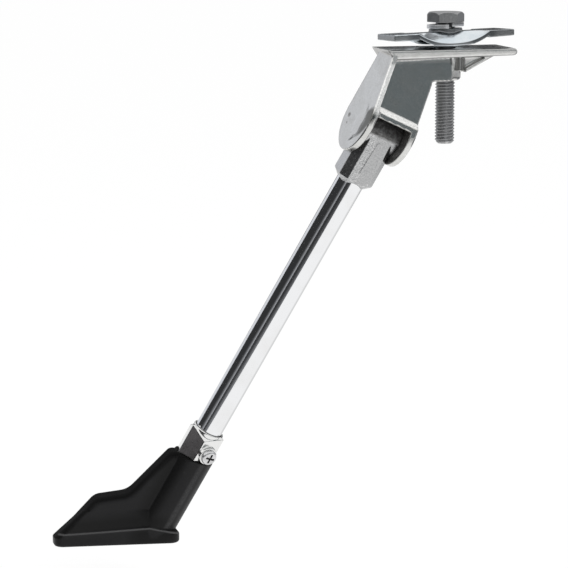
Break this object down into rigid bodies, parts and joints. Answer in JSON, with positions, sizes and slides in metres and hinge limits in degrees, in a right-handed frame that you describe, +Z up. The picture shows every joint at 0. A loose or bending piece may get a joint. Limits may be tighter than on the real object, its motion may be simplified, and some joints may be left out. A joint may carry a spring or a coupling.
{
  "type": "bicycle kickstand",
  "caption": "Side kickstand for a bicycle: a cast bracket clamped by a bolt and saddle plate, with a folding chromed leg tube and an adjustable black foot.",
  "frame": {"origin": "on the clamp bolt's axis, at the bracket's top face where the frame stays rest", "axes": "+Z up along the bolt, +Y to the front of the bicycle, -X to its left side where the leg stands"},
  "size_m": [0.2218, 0.0867, 0.2693],
  "materials": {
    "cast_bright": "bright plated casting, lightly pitted",
    "cast_grey": "plated casting with a grainy skin",
    "chrome_tube": "mirror chrome",
    "collar_bright": "polished plate",
    "zinc_sheet": "blue-white zinc plate",
    "bolt_steel": "grey zinc plate, dull",
    "pin_steel": "oiled steel",
    "screw_steel": "bright zinc plate",
    "boot_black": "satin black moulding"
  },
  "bodies": {
    "bracket": {"mount_bracket": "cast_bright", "pivot_pin": "pin_steel"},
    "clamp": {"clamp_plate": "zinc_sheet", "lock_washer": "bolt_steel"},
    "bolt": {"clamp_bolt": "bolt_steel"},
    "leg": {"leg_knuckle": "cast_grey", "leg_tube": "chrome_tube", "detent_spring": "pin_steel", "spring_seat": "pin_steel"},
    "plunger": {"detent_plunger": "pin_steel"},
    "foot": {"foot_collar": "collar_bright", "collar_screw": "screw_steel", "foot_boot": "boot_black"}
  },
  "joints": [
    {"name": "clamp_lift", "type": "slide", "parent": "bracket", "child": "clamp", "axis": [0, 0, 1], "range_m": [0, 0.02]},
    {"name": "bolt_turn", "type": "hinge", "parent": "clamp", "child": "bolt", "pos_m": [0, 0, 0], "axis": [0, 0, 1], "range_deg": [0, 4800]},
    {"name": "leg_fold", "type": "hinge", "parent": "bracket", "child": "leg", "pos_m": [-0.0357, -0.005, -0.04075], "axis": [-0.9004, -0.0788, 0.4278], "range_deg": [0, 90]},
    {"name": "plunger_lift", "type": "slide", "parent": "leg", "child": "plunger", "axis": [-0.4339, 0.2332, -0.8703], "range_m": [0, 0.0012], "stiffness_N_per_m": 1500, "springref_m": -0.003, "deforming": ["detent_spring"]},
    {"name": "foot_extend", "type": "slide", "parent": "leg", "child": "foot", "axis": [-0.4339, 0.2332, -0.8703], "range_m": [0, 0.025]}
  ],
  "couplings": [
    {"joint": "bolt_turn", "follows": "clamp_lift", "rad_per_m": 4188.8}
  ]
}
